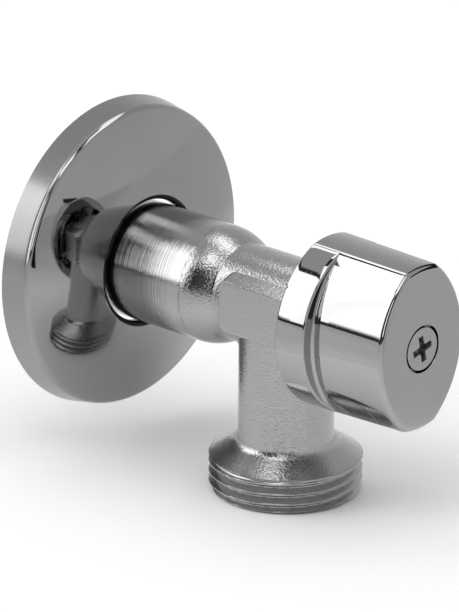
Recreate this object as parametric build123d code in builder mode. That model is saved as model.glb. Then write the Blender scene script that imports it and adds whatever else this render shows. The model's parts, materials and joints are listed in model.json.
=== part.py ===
from build123d import *
import os
from math import asin, cos, degrees, radians, sin, sqrt, tan

# Quarter-turn angle valve that screws into a wall fitting and feeds a hose.
# Millimetres, +Z up. The origin is on the inlet axis, in the plane of the wall.
# +Y runs into the wall, the knob faces -Y and the outlet points down.
# A reach is a distance in front of the wall, so a point of reach 40 has Y = -40.

# Inlet thread and barrel
inlet_thread_d = 20.955
inlet_thread_reach = 2.0
inlet_thread_length = 15.0
inlet_relief_d = 18.4
inlet_relief_length = 2.0
inlet_chamfer = 1.2
barrel_d = 20.8
barrel_reach = 25.0

# Neck that carries the knob
neck_d = 17.1
neck_chamfer = 0.4
neck_root_fillet = 0.8

# Leg and threaded outlet
leg_gap = 1.649
leg_d = 16.46
leg_length = 23.6
leg_root_fillet = 1.2
flare_height = 3.2
outlet_thread_d = 26.441
outlet_thread_length = 6.5
outlet_chamfer = 0.9
outlet_mouth_d = 19.0
outlet_mouth_depth = 7.0
outlet_mouth_slope = 2.0

# Raised pad on the left side of the neck
pad_length = 15.0
pad_height = 9.2
pad_rise = 0.6
pad_face_offset = 9.15
pad_draft = 16.0
pad_corner = 1.4
pad_edge = 0.25

# Ball and its two seats
ball_d = 12.4
port_d = 7.6
ball_bore_d = 13.6
ball_slot_width = 3.0
ball_slot_depth = 2.0
seat_gap = 0.2
seat_bore_d = 7.8
seat_back = 1.6
ring_clearance = 0.05
inlet_insert_d = 14.6
inlet_retainer_length = 4.0
inlet_hex = 9.0
outlet_seat_d = 10.0
outlet_seat_wrap = 4.3
outlet_insert_d = 11.2
outlet_retainer_length = 5.0
outlet_hex = 8.0

# Stem, thrust washer and sealing rings
tang_length = 7.0
stem_d = 8.0
stem_guide = 8.0
stem_bore_clearance = 0.1
stem_flange_d = 12.0
stem_flange_thickness = 1.5
stem_ball_gap = 0.3
tang_clearance = 0.1
washer_thickness = 0.6
washer_gap = 0.1
o_ring_section = 1.5
o_ring_clearance = 0.05
o_ring_groove_width = 1.9
o_ring_spacing = 3.2
o_ring_first = 2.0
stem_square = 6.0
stem_square_start = 0.5
stem_chamfer = 0.4

# Knob
knob_overlap = 7.7
knob_length = 21.1
grip_d = 30.1
grip_side_step = 3.9
ridge_width = 7.9
collar_step = 1.6
collar_top_step = 0.05
collar_length = 6.2
knob_draft = 1.4
grip_foot_fillet = 0.6
grip_foot_bite = 0.01
grip_edge_fillet = 1.0
rear_edge_fillet = 0.4
knob_wall = 1.8
knob_front_wall = 3.6
hub_d = 11.2
hub_gap = 0.7
square_clearance = 0.05
rib_thickness = 2.0

# Stops of the quarter turn: one lug on the neck between two lugs in the knob
turn_angle = 90.0
stop_lug_angle = 28.0
stop_lug_inset = 1.7
stop_lug_clearance = 0.65
stop_lug_length = 2.2
knob_lug_angle = 20.0
knob_lug_clearance = 0.45
stop_gap_angle = 2.0

# Knob screw
screw_head_d = 8.2
screw_head_thickness = 2.0
screw_head_gap = 0.25
screw_d = 4.0
screw_length = 10.0
screw_hole_clearance = 0.25
screw_fit = 0.05
recess_arm = 4.6
recess_width = 1.15
recess_depth = 1.5
recess_draft = 8.0

# Wall plate
plate_d = 55.2
plate_front_d = 53.4
plate_skirt = 5.0
plate_sheet = 0.8
plate_dome_radius = 73.0
plate_edge_radius = 1.0
plate_hole_clearance = 0.45
plate_roll_radius = 0.45
plate_collar = 0.8

# Sizes that follow from those above
barrel_r = barrel_d / 2
neck_r = neck_d / 2
leg_r = leg_d / 2
ball_r = ball_d / 2
stem_r = stem_d / 2
outlet_r = outlet_thread_d / 2
grip_r = grip_d / 2
collar_r = grip_r - collar_step
seat_sphere_r = ball_r + seat_gap
stem_bore_r = stem_r + stem_bore_clearance
inlet_end = inlet_thread_length - inlet_thread_reach
flare_top = -leg_length
flare_foot = flare_top - flare_height
outlet_end = flare_foot - outlet_thread_length
leg_reach = barrel_reach + sqrt(barrel_r**2 - neck_r**2) + leg_gap + leg_r
ball_front = leg_reach + ball_r
slot_floor = ball_front - ball_slot_depth
flange_rear = ball_front + stem_ball_gap
flange_front = flange_rear + stem_flange_thickness
washer_front = flange_front + washer_thickness
ball_bore_end = washer_front + washer_gap
seat_foot = ball_r + seat_back
insert_end = leg_reach - seat_foot
neck_reach = ball_bore_end + stem_guide
knob_reach = neck_reach - knob_overlap
knob_front = knob_reach + knob_length
stop_lug_reach = knob_reach + stop_lug_inset
stop_lug_r = collar_r - knob_wall - stop_lug_clearance
step_reach = knob_reach + collar_length
hub_rear = neck_reach + hub_gap
knob_floor = knob_front - knob_front_wall
leg_axis = Axis((0, -leg_reach, 0), (0, 0, 1))


def front_plane(reach):
    """Plane that faces the front at a given distance from the wall."""
    return Plane.XZ.offset(reach)


def clockwise(radius, angle):
    """Point at an angle that runs clockwise from the top, as seen from the front."""
    return radius * sin(radians(angle)), radius * cos(radians(angle))


def wedge(size, start, end):
    """Corners of a pie slice about the inlet axis, between two clockwise angles."""
    middle = (start + end) / 2
    return [(0, 0), clockwise(size, start), clockwise(size, middle), clockwise(size, end)]


# Body: inlet thread, barrel with a ball-shaped end, and neck in one turned profile
with BuildPart() as valve_body:
    with BuildSketch(Plane.XY) as body_profile:
        with BuildLine():
            thread_r = inlet_thread_d / 2
            ball_end_angle = asin(neck_r / barrel_r)
            half_angle = (ball_end_angle + radians(90)) / 2
            end_of_barrel = (barrel_r, -barrel_reach)
            neck_root = (neck_r, -barrel_reach - barrel_r * cos(ball_end_angle))
            Polyline(
                end_of_barrel,
                (barrel_r, -inlet_thread_reach - inlet_relief_length),
                (inlet_relief_d / 2, -inlet_thread_reach - inlet_relief_length),
                (inlet_relief_d / 2, -inlet_thread_reach),
                (thread_r, -inlet_thread_reach),
                (thread_r, inlet_end - inlet_chamfer),
                (thread_r - inlet_chamfer, inlet_end),
                (0, inlet_end),
                (0, -neck_reach),
                (neck_r - neck_chamfer, -neck_reach),
                (neck_r, neck_chamfer - neck_reach),
                neck_root,
            )
            ThreePointArc(
                neck_root,
                (barrel_r * sin(half_angle), -barrel_reach - barrel_r * cos(half_angle)),
                end_of_barrel,
            )
        make_face()
        fillet(body_profile.vertices().sort_by_distance((*neck_root, 0))[0], neck_root_fillet)
    revolve(axis=Axis.Y)

    # Leg, flare and outlet
    with BuildSketch(front_plane(leg_reach)):
        with BuildLine():
            Polyline(
                (0, 0),
                (leg_r, 0),
                (leg_r, flare_top),
                (outlet_r, flare_foot),
                (outlet_r, outlet_end + outlet_chamfer),
                (outlet_r - outlet_chamfer, outlet_end),
                (0, outlet_end),
                close=True,
            )
        make_face()
    revolve(axis=leg_axis)
    fillet(valve_body.edges(Select.LAST).filter_by(GeomType.BSPLINE), leg_root_fillet)

    # Raised pad, drafted on all sides
    with BuildSketch(Plane.YZ):
        with Locations((-leg_reach, pad_rise)):
            RectangleRounded(
                pad_length + 2 * pad_face_offset * tan(radians(pad_draft)),
                pad_height + 2 * pad_face_offset * tan(radians(pad_draft)),
                pad_corner + pad_face_offset * tan(radians(pad_draft)),
            )
    extrude(amount=-pad_face_offset, taper=pad_draft)
    fillet(valve_body.faces().sort_by(Axis.X)[0].edges(), pad_edge)

    # Stop lug on top of the neck
    with BuildSketch(front_plane(stop_lug_reach)):
        Circle(stop_lug_r)
        Polygon(
            *wedge(2 * stop_lug_r, -stop_lug_angle / 2, stop_lug_angle / 2),
            align=None,
            mode=Mode.INTERSECT,
        )
    extrude(amount=stop_lug_length)

    # Bores along the inlet axis: insert bore, ball bore and stem bore
    with BuildSketch(Plane.XY):
        with BuildLine():
            Polyline(
                (0, inlet_end),
                (inlet_insert_d / 2, inlet_end),
                (inlet_insert_d / 2, -insert_end),
                (ball_bore_d / 2, -insert_end),
                (ball_bore_d / 2, -ball_bore_end),
                (stem_bore_r, -ball_bore_end),
                (stem_bore_r, -neck_reach),
                (0, -neck_reach),
                close=True,
            )
        make_face()
    revolve(axis=Axis.Y, mode=Mode.SUBTRACT)

    # Bores of the leg: outlet seat, its threaded insert and the wide mouth
    with BuildSketch(front_plane(leg_reach)):
        with BuildLine():
            mouth_top = outlet_end + outlet_mouth_depth
            Polyline(
                (0, 0),
                (outlet_seat_d / 2, 0),
                (outlet_seat_d / 2, -seat_foot),
                (outlet_insert_d / 2, -seat_foot),
                (outlet_insert_d / 2, mouth_top + outlet_mouth_slope),
                (outlet_mouth_d / 2, mouth_top),
                (outlet_mouth_d / 2, outlet_end),
                (0, outlet_end),
                close=True,
            )
        make_face()
    revolve(axis=leg_axis, mode=Mode.SUBTRACT)

# L-port ball: one port towards the inlet, one down to the outlet, a slot for the stem
with BuildPart() as ball:
    with Locations((0, -leg_reach, 0)):
        Sphere(ball_r)
    with BuildSketch(front_plane(leg_reach)):
        Circle(port_d / 2)
    extrude(amount=-ball_d, mode=Mode.SUBTRACT)
    with BuildSketch(Plane.XY):
        with Locations((0, -leg_reach)):
            Circle(port_d / 2)
    extrude(amount=-ball_d, mode=Mode.SUBTRACT)
    with BuildSketch(front_plane(slot_floor)):
        Rectangle(ball_slot_width, 2 * ball_d)
    extrude(amount=2 * ball_slot_depth, mode=Mode.SUBTRACT)

# Seat on the inlet side of the ball
with BuildPart() as inlet_seat:
    with BuildSketch(front_plane(insert_end)):
        Circle(ball_bore_d / 2 - ring_clearance)
        Circle(seat_bore_d / 2, mode=Mode.SUBTRACT)
    extrude(amount=seat_foot - outlet_seat_d / 2)
    with Locations((0, -leg_reach, 0)):
        Sphere(seat_sphere_r, mode=Mode.SUBTRACT)

# Threaded ring behind the inlet seat, turned with a hexagon key
with BuildPart() as inlet_retainer:
    with BuildSketch(front_plane(insert_end)):
        Circle(inlet_insert_d / 2 - ring_clearance)
        RegularPolygon(inlet_hex / 2, 6, major_radius=False, mode=Mode.SUBTRACT)
    extrude(amount=-inlet_retainer_length)

# Seat under the ball, the one that shuts the water off
with BuildPart() as outlet_seat:
    with BuildSketch(Plane.XY.offset(-seat_foot)):
        with Locations((0, -leg_reach)):
            Circle(outlet_seat_d / 2 - ring_clearance)
            Circle(seat_bore_d / 2, mode=Mode.SUBTRACT)
    extrude(amount=seat_foot - outlet_seat_wrap)
    with Locations((0, -leg_reach, 0)):
        Sphere(seat_sphere_r, mode=Mode.SUBTRACT)

# Threaded ring under the outlet seat
with BuildPart() as outlet_retainer:
    with BuildSketch(Plane.XY.offset(-seat_foot)):
        with Locations((0, -leg_reach)):
            Circle(outlet_insert_d / 2 - ring_clearance)
            RegularPolygon(outlet_hex / 2, 6, major_radius=False, mode=Mode.SUBTRACT)
    extrude(amount=-outlet_retainer_length)

# Stem: flange, grooved shaft and square in one turned profile, then tang and screw hole
groove_r = stem_bore_r - o_ring_clearance - o_ring_section
o_ring_reaches = [ball_bore_end + o_ring_first + i * o_ring_spacing for i in range(2)]
square_start = neck_reach + stem_square_start
stem_end = knob_floor - screw_fit
with BuildPart() as stem:
    with BuildSketch(front_plane(flange_rear)):
        Circle(stem_flange_d / 2)
    extrude(amount=stem_flange_thickness)
    with BuildSketch(front_plane(flange_front)):
        Circle(stem_r)
    extrude(amount=square_start - flange_front)
    for o_ring_reach in o_ring_reaches:
        with BuildSketch(front_plane(o_ring_reach - o_ring_groove_width / 2)):
            Circle(stem_r)
            Circle(groove_r, mode=Mode.SUBTRACT)
        extrude(amount=o_ring_groove_width, mode=Mode.SUBTRACT)
    with BuildSketch(front_plane(square_start)):
        Rectangle(stem_square, stem_square)
        Circle(stem_r, mode=Mode.INTERSECT)
    extrude(amount=stem_end - square_start)
    chamfer(stem.faces().sort_by(Axis.Y)[0].edges(), stem_chamfer)
    with BuildSketch(front_plane(flange_rear)):
        Rectangle(ball_slot_width - 2 * tang_clearance, tang_length)
    extrude(amount=-(flange_rear - slot_floor - tang_clearance))
    with BuildSketch(front_plane(stem_end)):
        Circle(screw_d / 2 + screw_fit)
    extrude(amount=-screw_length, mode=Mode.SUBTRACT)

# Thrust washer between the flange and the end of the ball bore
with BuildPart() as stem_washer:
    with BuildSketch(front_plane(flange_front)):
        Circle(stem_flange_d / 2)
        Circle(stem_bore_r, mode=Mode.SUBTRACT)
    extrude(amount=washer_thickness)


def sealing_ring(reach):
    """Round ring that fills its groove on the stem, centred at a given reach."""
    with BuildPart() as ring:
        with BuildSketch(Plane.XY):
            with Locations((stem_bore_r - o_ring_clearance - o_ring_section / 2, -reach)):
                Circle(o_ring_section / 2 - o_ring_clearance)
        revolve(axis=Axis.Y)
    return ring


stem_o_ring_inner = sealing_ring(o_ring_reaches[0])
stem_o_ring_outer = sealing_ring(o_ring_reaches[1])

# Knob: a drafted lens with a round ridge above and below, and an oval collar behind it
step_inset = collar_length * tan(radians(knob_draft))
grip_half = grip_r - grip_side_step
ridge_height = sqrt(grip_r**2 - (ridge_width / 2) ** 2)
side_sagitta = grip_half - ridge_width / 2
side_radius = (side_sagitta**2 + ridge_height**2) / (2 * side_sagitta)
side_centre = grip_half - side_radius
collar_sagitta = collar_r - ridge_width / 2
collar_radius = (collar_sagitta**2 + ridge_height**2) / (2 * collar_sagitta)
collar_centre = collar_r - collar_radius
hollow_half_height = collar_r - knob_wall
hollow_start = step_reach - knob_wall

# What is left of the collar in front of its step is a rounded foot along the grip
with BuildPart() as side_cut:
    with BuildSketch(Plane.XY) as side_profile:
        with BuildLine():
            foot_r = grip_half - step_inset - grip_foot_bite
            Polyline(
                (foot_r, -step_reach),
                (foot_r - knob_length * tan(radians(knob_draft)), -step_reach - knob_length),
                (foot_r + collar_r, -step_reach - knob_length),
                (foot_r + collar_r, -step_reach),
                close=True,
            )
        make_face()
        inner_corner = side_profile.vertices().sort_by_distance((foot_r, -step_reach, 0))[0]
        fillet(inner_corner, grip_foot_fillet)
    revolve(axis=Axis((side_centre, 0, 0), (0, 1, 0)))

with BuildPart() as collar:
    with BuildSketch(front_plane(knob_reach)):
        Circle(grip_r - collar_top_step)
        for centre in (collar_centre, -collar_centre):
            with Locations((centre, 0)):
                Circle(collar_radius, mode=Mode.INTERSECT)
    extrude(amount=collar_length + grip_foot_fillet, taper=knob_draft)
    fillet(collar.faces().sort_by(Axis.Y)[-1].edges(), rear_edge_fillet)
    add(side_cut.part, mode=Mode.SUBTRACT)
    mirror(side_cut.part, about=Plane.YZ, mode=Mode.SUBTRACT)

with BuildPart() as knob:
    with BuildSketch(front_plane(knob_reach)):
        Circle(grip_r)
        for centre in (side_centre, -side_centre):
            with Locations((centre, 0)):
                Circle(side_radius, mode=Mode.INTERSECT)
    extrude(amount=knob_length, taper=knob_draft)
    long_edges = knob.edges().filter_by(lambda edge: abs(edge.tangent_at(0.5).Y) > 0.9)
    fillet(long_edges + knob.faces().sort_by(Axis.Y)[0].edges(), grip_edge_fillet)
    fillet(knob.faces().sort_by(Axis.Y)[-1].edges(), rear_edge_fillet)
    add(collar.part)

    # Hollow under the collar, then under the grip
    with BuildSketch(front_plane(knob_reach)):
        Circle(collar_r - knob_wall)
    extrude(amount=collar_length - knob_wall, mode=Mode.SUBTRACT)
    with BuildSketch(front_plane(hollow_start)):
        with Locations((side_centre, 0)):
            Circle(side_radius - step_inset - knob_wall)
        with Locations((-side_centre, 0)):
            Circle(side_radius - step_inset - knob_wall, mode=Mode.INTERSECT)
        Rectangle(2 * grip_half, 2 * hollow_half_height, mode=Mode.INTERSECT)
    extrude(amount=knob_floor - hollow_start, taper=knob_draft, mode=Mode.SUBTRACT)

    # Hub with two ribs, square hole for the stem, hole and seat for the screw
    with BuildSketch(front_plane(hub_rear)):
        Circle(hub_d / 2)
        Rectangle(rib_thickness, 2 * hollow_half_height)
    extrude(amount=knob_floor - hub_rear)
    with BuildSketch(front_plane(hub_rear)):
        Rectangle(stem_square + 2 * square_clearance, stem_square + 2 * square_clearance)
    extrude(amount=knob_floor - hub_rear, mode=Mode.SUBTRACT)
    with BuildSketch(front_plane(knob_floor)):
        Circle(screw_d / 2 + screw_hole_clearance)
    extrude(amount=knob_front_wall, mode=Mode.SUBTRACT)
    with BuildSketch(front_plane(knob_front)):
        Circle(screw_head_d / 2 + screw_head_gap)
    extrude(amount=-screw_head_thickness, mode=Mode.SUBTRACT)

    # Stop lugs on the inside of the collar
    lug_start = stop_lug_angle / 2 + stop_gap_angle
    for start in (lug_start, -lug_start - turn_angle - knob_lug_angle):
        with BuildSketch(front_plane(stop_lug_reach)):
            Circle(collar_r - knob_wall / 2)
            Circle(neck_r + knob_lug_clearance, mode=Mode.SUBTRACT)
            Polygon(*wedge(grip_d, start, start + knob_lug_angle), align=None, mode=Mode.INTERSECT)
        extrude(amount=hollow_start - stop_lug_reach)

# Screw with a cross recess
head_seat = knob_front - screw_head_thickness
with BuildPart() as knob_screw:
    with BuildSketch(front_plane(head_seat)):
        Circle(screw_head_d / 2)
    extrude(amount=screw_head_thickness)
    with BuildSketch(front_plane(head_seat)):
        Circle(screw_d / 2)
    extrude(amount=-screw_length)
    for arm_size in ((recess_arm, recess_width), (recess_width, recess_arm)):
        with BuildSketch(front_plane(knob_front)):
            Rectangle(*arm_size)
        extrude(amount=-recess_depth, taper=recess_draft, mode=Mode.SUBTRACT)

# Wall plate: one sheet, with a skirt, a dome and an edge rolled back into the hole
plate_hole_r = barrel_r + plate_hole_clearance
with BuildPart() as escutcheon:
    with BuildSketch(Plane.XY):
        with BuildLine() as sheet:
            half_sheet = plate_sheet / 2
            edge = (plate_front_d / 2 - half_sheet, half_sheet - plate_skirt)
            skirt_slope = (plate_d - plate_front_d) / 2 / plate_skirt
            rim = (edge[0] + 2 * skirt_slope * plate_skirt, 2 * plate_skirt + edge[1])
            dome_r = plate_dome_radius - half_sheet
            dome_centre = edge[1] + sqrt(dome_r**2 - edge[0] ** 2)
            collar_line = plate_hole_r + half_sheet
            roll_foot_r = (collar_line + plate_roll_radius) / (1 - plate_roll_radius / dome_r)
            roll_slope = asin(roll_foot_r / dome_r)
            roll_foot = (roll_foot_r, dome_centre - dome_r * cos(roll_slope))
            Line(rim, edge)
            RadiusArc(edge, roll_foot, dome_r)
            fillet(sheet.vertices().sort_by_distance((*edge, 0))[0], plate_edge_radius)
            roll = JernArc(
                start=roll_foot,
                tangent=(-cos(roll_slope), -sin(roll_slope)),
                radius=plate_roll_radius,
                arc_size=-90 - degrees(roll_slope),
            )
            Line(roll @ 1, roll @ 1 + Vector(0, plate_collar))
        trace(line_width=plate_sheet)
    revolve(axis=Axis.Y)
    split(bisect_by=Plane.XZ)

os.makedirs("parts", exist_ok=True)
nodes = {
    "valve_body": valve_body,
    "ball": ball,
    "inlet_seat": inlet_seat,
    "inlet_retainer": inlet_retainer,
    "outlet_seat": outlet_seat,
    "outlet_retainer": outlet_retainer,
    "stem": stem,
    "stem_washer": stem_washer,
    "stem_o_ring_inner": stem_o_ring_inner,
    "stem_o_ring_outer": stem_o_ring_outer,
    "knob": knob,
    "knob_screw": knob_screw,
    "escutcheon": escutcheon,
}
for name, node in nodes.items():
    node.part.label = name
    export_step(node.part, f"parts/{name}.step")
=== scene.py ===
# %% [markdown]
# # A chromed angle valve, dressed for the camera
# The packed CAD model is the fixed frame of this scene. It is in metres, with the origin
# on the inlet axis in the plane of the wall, +Y into the wall and +Z up. Every piece below
# takes its place from that frame, so nothing has to be fitted by eye.

# %% Load the frame
import json
from math import asin, atan2, cos, hypot, pi, radians, sin, sqrt, tan

import bmesh
import bpy
import numpy as np
from mathutils import Matrix, Vector


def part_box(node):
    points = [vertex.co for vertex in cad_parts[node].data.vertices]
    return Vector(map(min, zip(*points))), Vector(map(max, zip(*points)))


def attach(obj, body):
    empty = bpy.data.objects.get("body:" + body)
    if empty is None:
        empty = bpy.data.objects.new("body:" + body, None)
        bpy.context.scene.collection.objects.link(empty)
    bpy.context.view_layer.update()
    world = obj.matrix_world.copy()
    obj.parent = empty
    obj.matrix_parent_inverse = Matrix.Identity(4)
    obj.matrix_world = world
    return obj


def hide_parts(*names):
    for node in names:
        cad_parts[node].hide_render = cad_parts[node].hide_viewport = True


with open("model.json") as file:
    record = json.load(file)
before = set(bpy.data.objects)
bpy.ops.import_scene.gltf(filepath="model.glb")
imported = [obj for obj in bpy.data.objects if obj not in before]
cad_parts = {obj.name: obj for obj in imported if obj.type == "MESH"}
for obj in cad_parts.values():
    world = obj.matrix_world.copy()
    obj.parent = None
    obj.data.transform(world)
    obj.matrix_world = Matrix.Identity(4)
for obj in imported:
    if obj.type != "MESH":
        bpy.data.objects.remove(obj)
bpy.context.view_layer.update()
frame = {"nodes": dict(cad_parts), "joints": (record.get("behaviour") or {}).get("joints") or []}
nodes = frame["nodes"]
MM = 0.001
print("CAD nodes:", sorted(nodes))

# %% [markdown]
# ## Surfaces on a grid
# Most pieces here were turned, forged, cast or pressed, so each is a function of two
# parameters. The function is worked out for a whole grid of points at once, and the
# grid becomes a mesh of quads. A grid that closes on itself shares its first row.


# %% From a grid of points to a piece
SAME_POINT = 0.5e-6


def grid_faces(rows, columns, close_rows=False, close_columns=False):
    """Quads between neighbouring points of a grid, as indices into its flattened array."""
    i = np.arange(rows if close_rows else rows - 1)
    j = np.arange(columns if close_columns else columns - 1)
    i, j = [a.ravel() for a in np.meshgrid(i, j, indexing="ij")]
    i_next, j_next = (i + 1) % rows, (j + 1) % columns
    corners = [(i, j), (i, j_next), (i_next, j_next), (i_next, j)]
    return np.stack([a * columns + b for a, b in corners], axis=1)


def new_piece(name, grids, body, material, replaces=(), sharp_angle=35):
    """Mesh of one or more grids. Each grid is (points, close_rows, close_columns)."""
    points, faces, start = [], [], 0
    for grid, close_rows, close_columns in grids:
        rows, columns = grid.shape[:2]
        points.append(grid.reshape(-1, 3))
        faces.append(grid_faces(rows, columns, close_rows, close_columns) + start)
        start += rows * columns
    mesh = bpy.data.meshes.new(name)
    mesh.from_pydata(np.concatenate(points) * MM, [], np.concatenate(faces))
    return add_piece(mesh, name, body, material, replaces, sharp_angle)


def add_piece(mesh, name, body, material, replaces, sharp_angle):
    """Finish a mesh: merge its seams, shade it smooth, and let it ride on its body."""
    tidy = bmesh.new()
    tidy.from_mesh(mesh)
    bmesh.ops.remove_doubles(tidy, verts=tidy.verts, dist=SAME_POINT)
    tidy.to_mesh(mesh)
    tidy.free()
    mesh.shade_smooth()
    mesh.set_sharp_from_angle(angle=radians(sharp_angle))
    mesh.materials.clear()
    mesh.materials.append(material)
    piece = bpy.data.objects.new(name, mesh)
    bpy.context.scene.collection.objects.link(piece)
    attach(piece, body)
    if replaces:
        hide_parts(*replaces)
    print(f"{name}: {len(mesh.vertices)} points, {len(mesh.polygons)} faces")
    return piece


print("points nearer than", SAME_POINT / MM, "mm are merged")


# %% [markdown]
# ## Shader maths as expressions
# A finish is easier to read as a formula than as a heap of nodes. This small class wraps
# an output socket. Adding, multiplying or taking it from a number adds a Math node, and
# `node` adds any other node with its settings and inputs.


# %% The class that wraps a socket
class Signal:
    """A value that changes over a surface, as the output socket of a shader node."""

    def __init__(self, tree, socket):
        self.tree, self.socket = tree, socket

    def node(self, kind, settings=None, output=0, **inputs):
        """A node of any kind. Settings come first, then a value or a link per input."""
        return add_node(self.tree, kind, settings, output, **inputs)

    def math(self, operation, *others):
        """A Math node of the operation, with a value or a link per input."""
        made = self.tree.nodes.new("ShaderNodeMath")
        made.operation = operation
        for socket, value in zip(made.inputs, others):
            connect(self.tree, socket, value)
        return Signal(self.tree, made.outputs[0])

    def __add__(self, other):
        return self.math("ADD", self, other)

    def __radd__(self, other):
        return self.math("ADD", other, self)

    def __sub__(self, other):
        return self.math("SUBTRACT", self, other)

    def __rsub__(self, other):
        return self.math("SUBTRACT", other, self)

    def __mul__(self, other):
        return self.math("MULTIPLY", self, other)

    def __rmul__(self, other):
        return self.math("MULTIPLY", other, self)

    def step(self, low, high):
        """0 below low, 1 above high, and a smooth ramp between them."""
        settings = {"interpolation_type": "SMOOTHSTEP"}
        return self.node("ShaderNodeMapRange", settings, Value=self, From_Min=low, From_Max=high)


def connect(tree, socket, value):
    """Link a signal to a socket, or set the socket to a plain value."""
    if isinstance(value, Signal):
        tree.links.new(value.socket, socket)
    else:
        socket.default_value = value


def add_node(tree, kind, settings=None, output=0, **inputs):
    """One node. An input's name is written with _ for each space in the socket's name."""
    made = tree.nodes.new(kind)
    for name, value in (settings or {}).items():
        setattr(made, name, value)
    for name, value in inputs.items():
        wanted = name.replace("_", " ")
        socket = next(s for s in made.inputs if s.name == wanted and s.enabled)
        connect(tree, socket, value)
    return Signal(tree, made.outputs[output])


print("Signal can:", [name for name in vars(Signal) if not name.startswith("__")])


# %% What every finish starts from
def new_finish(name):
    """Empty material, its Principled shader and the place on the object, in millimetres."""
    material = bpy.data.materials.new(name)
    material.use_nodes = True
    tree = material.node_tree
    shader = tree.nodes["Principled BSDF"]
    place = add_node(tree, "ShaderNodeTexCoord", output=3)
    place = place.node("ShaderNodeVectorMath", {"operation": "SCALE"}, Vector=place, Scale=1 / MM)
    return material, tree, shader, place


def parts_of(place):
    """X, Y and Z of a vector as three signals."""
    split = place.node("ShaderNodeSeparateXYZ", Vector=place)
    return [Signal(place.tree, socket) for socket in split.socket.node.outputs]


def noise(place, size, detail=2.0, roughness=0.5):
    """Noise from 0 to 1 whose grains are about as large as the size, in millimetres."""
    settings = {"noise_dimensions": "3D"}
    return place.node(
        "ShaderNodeTexNoise", settings, Vector=place, Scale=1 / size, Detail=detail, Roughness=roughness
    )


def rings(along, size, detail=3.0):
    """Noise along one direction only, so on a turned face it makes rings about the axis."""
    settings = {"noise_dimensions": "1D"}
    return along.node("ShaderNodeTexNoise", settings, W=along * (1 / size), Scale=1.0, Detail=detail)


def bump(height, strength, depth):
    """Normal of a surface that rises by the height signal, up to the depth in millimetres."""
    return height.node("ShaderNodeBump", Strength=strength, Distance=depth * MM, Height=height)


MIX_FACTOR, MIX_LOW, MIX_HIGH, MIX_RESULT = 0, 6, 7, 2


def mix_colours(factor, low, high):
    """Low colour where the factor is 0, high colour where it is 1, and a blend between.

    A Mix node has sockets of the same name for numbers, vectors and colours, so those for
    colours are picked by their place.
    """
    mix = factor.node("ShaderNodeMix", {"data_type": "RGBA"}).socket.node
    for place, value in ((MIX_FACTOR, factor), (MIX_LOW, low), (MIX_HIGH, high)):
        connect(factor.tree, mix.inputs[place], value)
    return Signal(factor.tree, mix.outputs[MIX_RESULT])


def grey(value):
    """Neutral colour with no transparency."""
    return (value, value, value, 1.0)


def link(tree, shader, **inputs):
    """Set or link inputs of a shader, with _ for each space in a socket's name."""
    for name, value in inputs.items():
        connect(tree, shader.inputs[name.replace("_", " ")], value)


print("patterns are sized in mm, one metre being", round(1 / MM))


# %% [markdown]
# ## Chrome in three states
# The plating is one metal, but it shows what lies under it. The plate and the knob are
# polished first, so they mirror. The barrel keeps the rings of the lathe. The neck and the leg
# keep the soft pebbled skin of the forging. An image could be laid over each, but noise whose
# grains are given in millimetres has the right size on every piece.

# %% Mirror chrome of the wall plate and the knob
CHROME, PLATE_SHADED_TONE, HOLE_PAINTED_SHADE = 0.40, 0.33, 0.02
HOLE_EDGE_R, HOLE_EDGE_BLEND = 11.7, 0.15
SKIRT_R, SKIRT_BLEND = 26.3, 0.5


def mirror_chrome(name, base, haze, turned_sheet=False):
    """Mirror plating with faint waviness, wiping marks and a few dull specks.

    On a turned sheet the inside of the rolled hole edge is painted near black, as painted shade for the
    shadowed gap round the barrel, and the skirt is brushed.
    """
    material, tree, shader, place = new_finish(name)
    cloud = noise(place, 9.0, detail=3.0)
    wipe = noise(place, 1.3, detail=5.0, roughness=0.65)
    speck = noise(place, 0.35, detail=1.0).step(0.70, 0.78)
    tone = mix_colours(cloud, grey(base * 0.95), grey(base * 1.05))
    roughness = haze + 0.035 * cloud * wipe + 0.12 * speck
    wave = noise(place, 16.0, detail=0.0) + 0.01 * wipe
    if turned_sheet:
        x, y, z = parts_of(place)
        radius = x.math("SQRT", x * x + z * z)
        skirt = radius.step(SKIRT_R, SKIRT_R + SKIRT_BLEND)
        beyond_hole_shade = radius.step(HOLE_EDGE_R, HOLE_EDGE_R + HOLE_EDGE_BLEND)
        # Painted shade: inside the rolled edge of the hole the tone falls to near black, for the shadow
        # in the gap round the barrel.
        tone = mix_colours(beyond_hole_shade, grey(HOLE_PAINTED_SHADE), tone)
        roughness = roughness + skirt * (0.18 + 0.1 * rings(y, 0.4) * wipe)
    link(tree, shader, Base_Color=tone, Metallic=1.0, Roughness=roughness)
    link(tree, shader, Normal=bump(wave, 0.12, 0.02))
    return material


# Painted shade: the plate's chrome tone is set lower than the knob's, for the darker surroundings that
# the plate mirrors.
plate_chrome = mirror_chrome("plate_chrome", PLATE_SHADED_TONE, haze=0.035, turned_sheet=True)
knob_chrome = mirror_chrome("knob_chrome", CHROME, haze=0.03)
print("mirror finishes:", plate_chrome.name, knob_chrome.name)


# %% Chrome over the turned and forged body
BARREL_END, BARREL_BLEND = -25.2, 0.3


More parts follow.
